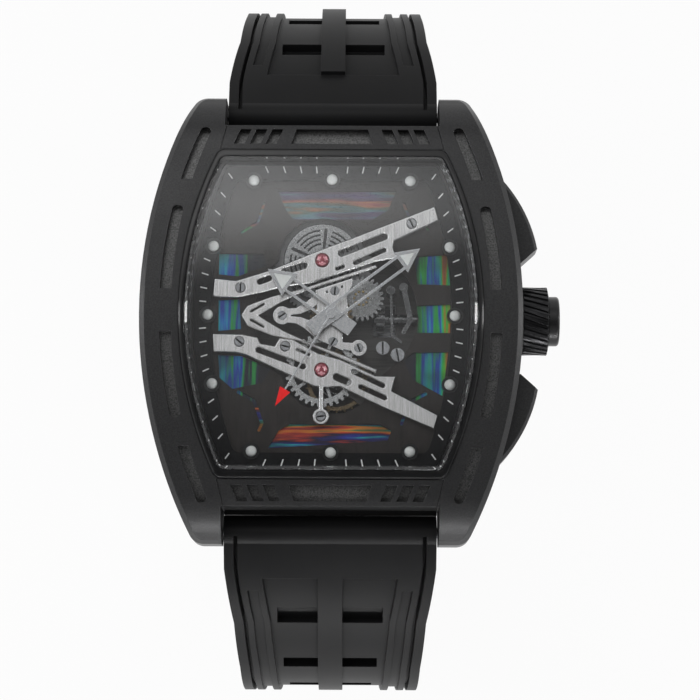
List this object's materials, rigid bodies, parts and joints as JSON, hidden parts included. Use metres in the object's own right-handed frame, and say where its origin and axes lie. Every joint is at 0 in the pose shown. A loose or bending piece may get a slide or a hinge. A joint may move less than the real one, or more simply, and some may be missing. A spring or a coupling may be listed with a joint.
{
  "type": "wristwatch",
  "caption": "Black tonneau skeleton wristwatch with arrow hands, two flank pushers, knurled crown and a ribbed rubber strap, standing dial up on its curled strap.",
  "frame": {"origin": "centre of the case back's outer face", "axes": "+Z out of the crystal, +Y towards twelve o'clock, +X towards the crown"},
  "size_m": [0.0486, 0.086, 0.0675],
  "materials": {
    "case_black": "matte blasted",
    "band_black": "grained matte",
    "polished_black": "polished",
    "cap_grey": "frosted",
    "sapphire": "clear",
    "back_steel": "satin",
    "seal_rubber": "matte",
    "strap_rubber": "moulded matte",
    "screw_steel": "polished",
    "works_dark": "satin",
    "holder_plastic": "matte",
    "foil": "iridescent diffracting",
    "dial_dark": "brushed satin",
    "track_black": "matte",
    "tick_white": "printed",
    "lume_white": "matte lume",
    "bridge_steel": "brushed, polished bevels",
    "wheel_steel": "satin",
    "wheel_brass": "satin",
    "hand_steel": "polished",
    "hand_red": "gloss",
    "ruby": "polished",
    "rotor_steel": "brushed"
  },
  "bodies": {
    "case": {"mid_case": "case_black", "bezel": "case_black", "upper_band": "band_black", "lower_band": "band_black", "crystal_ring": "polished_black", "crystal": "sapphire", "case_back": "back_steel", "case_back_glass": "sapphire", "case_back_gasket": "seal_rubber", "case_back_screws": "screw_steel", "crown_tube": "back_steel", "main_plate": "works_dark", "movement_holder": "holder_plastic", "dial_foil": "foil", "dial_plate": "dial_dark", "chapter_ring": "track_black", "minute_ticks": "tick_white", "marker_cups": "screw_steel", "hour_markers": "lume_white", "dial_screws": "screw_steel", "setting_lever": "wheel_steel", "yoke_spring": "wheel_steel", "upper_bridge": "bridge_steel", "lower_bridge": "bridge_steel", "v_rail": "bridge_steel", "wishbone": "bridge_steel", "bridge_screws": "screw_steel", "bridge_posts": "works_dark", "jewels": "ruby", "crown_wheel_post": "wheel_steel", "hairspring": "wheel_steel", "balance_cock": "works_dark", "rotor_bearing": "wheel_steel", "spring_bars": "back_steel"},
    "crown_carriage": {"stem_yoke": "back_steel"},
    "crown_stem": {"crown": "case_black", "crown_cap": "cap_grey", "winding_stem": "back_steel"},
    "upper_button": {"upper_pusher": "case_black"},
    "lower_button": {"lower_pusher": "case_black"},
    "spring_barrel": {"barrel": "wheel_steel", "barrel_cover": "wheel_steel"},
    "lower_train": {"lower_wheel": "wheel_brass"},
    "crown_gear": {"crown_wheel": "wheel_steel"},
    "balance": {"balance_wheel": "wheel_brass"},
    "hour_works": {"hour_hand": "hand_steel", "hour_lume": "lume_white"},
    "minute_works": {"minute_hand": "hand_steel", "minute_lume": "lume_white", "cannon_pinion": "wheel_brass"},
    "seconds_works": {"seconds_hand": "hand_steel", "seconds_tip": "hand_red"},
    "winding_rotor": {"rotor": "rotor_steel"},
    "buckle_strap": {"strap_buckle_half": "strap_rubber", "fixed_keeper": "strap_rubber"},
    "tail_strap": {"strap_tail_half": "strap_rubber"},
    "buckle": {"buckle_frame": "polished_black", "buckle_bar": "back_steel"},
    "tongue": {"buckle_tongue": "polished_black"},
    "loose_keeper": {"free_keeper": "strap_rubber"}
  },
  "joints": [
    {"name": "crown_pull", "type": "slide", "parent": "case", "child": "crown_carriage", "axis": [1, 0, 0], "range_m": [0, 0.001]},
    {"name": "crown_spin", "type": "hinge", "parent": "crown_carriage", "child": "crown_stem", "pos_m": [0, 0, 0.0052], "axis": [1, 0, 0], "continuous": true},
    {"name": "upper_press", "type": "slide", "parent": "case", "child": "upper_button", "axis": [-1, 0, 0], "range_m": [0, 0.0008], "stiffness_N_per_m": 2500},
    {"name": "lower_press", "type": "slide", "parent": "case", "child": "lower_button", "axis": [-1, 0, 0], "range_m": [0, 0.0008], "stiffness_N_per_m": 2500},
    {"name": "seconds_spin", "type": "hinge", "parent": "case", "child": "seconds_works", "pos_m": [0, 0, 0], "axis": [0, 0, -1], "continuous": true},
    {"name": "minute_spin", "type": "hinge", "parent": "case", "child": "minute_works", "pos_m": [0, 0, 0], "axis": [0, 0, -1], "continuous": true},
    {"name": "hour_spin", "type": "hinge", "parent": "case", "child": "hour_works", "pos_m": [0, 0, 0], "axis": [0, 0, -1], "continuous": true},
    {"name": "barrel_spin", "type": "hinge", "parent": "case", "child": "spring_barrel", "pos_m": [-0.00108, 0.00655, 0], "axis": [0, 0, -1], "continuous": true},
    {"name": "lower_wheel_spin", "type": "hinge", "parent": "case", "child": "lower_train", "pos_m": [-0.00108, -0.00628, 0], "axis": [0, 0, -1], "continuous": true},
    {"name": "crown_wheel_spin", "type": "hinge", "parent": "case", "child": "crown_gear", "pos_m": [0.00345, 0.00224, 0], "axis": [0, 0, 1], "continuous": true},
    {"name": "balance_swing", "type": "hinge", "parent": "case", "child": "balance", "pos_m": [0.00067, -0.0073, 0], "axis": [0, 0, 1], "range_deg": [-135, 135]},
    {"name": "rotor_spin", "type": "hinge", "parent": "case", "child": "winding_rotor", "pos_m": [0, 0, 0], "axis": [0, 0, 1], "continuous": true},
    {"name": "buckle_strap_swing", "type": "hinge", "parent": "case", "child": "buckle_strap", "pos_m": [0, 0.0247, 0.0034], "axis": [-1, 0, 0], "range_deg": [0, 30]},
    {"name": "tail_strap_swing", "type": "hinge", "parent": "case", "child": "tail_strap", "pos_m": [0, -0.0247, 0.0034], "axis": [-1, 0, 0], "range_deg": [0, 60]},
    {"name": "buckle_swing", "type": "hinge", "parent": "buckle_strap", "child": "buckle", "pos_m": [0, 0.00211, -0.03764], "axis": [1, 0, 0], "range_deg": [-60, 60]},
    {"name": "tongue_swing", "type": "hinge", "parent": "buckle", "child": "tongue", "pos_m": [0, 0.00211, -0.03764], "axis": [1, 0, 0], "range_deg": [0, 50]},
    {"name": "keeper_slide", "type": "slide", "parent": "buckle_strap", "child": "loose_keeper", "axis": [0, -1, 0], "range_m": [0, 0.007]}
  ],
  "couplings": [
    {"joint": "minute_spin", "follows": "seconds_spin", "ratio": 0.016667},
    {"joint": "hour_spin", "follows": "seconds_spin", "ratio": 0.0013889},
    {"joint": "barrel_spin", "follows": "seconds_spin", "ratio": -0.0027778},
    {"joint": "lower_wheel_spin", "follows": "seconds_spin", "ratio": -0.0095238},
    {"joint": "crown_wheel_spin", "follows": "crown_spin", "ratio": -0.56}
  ]
}
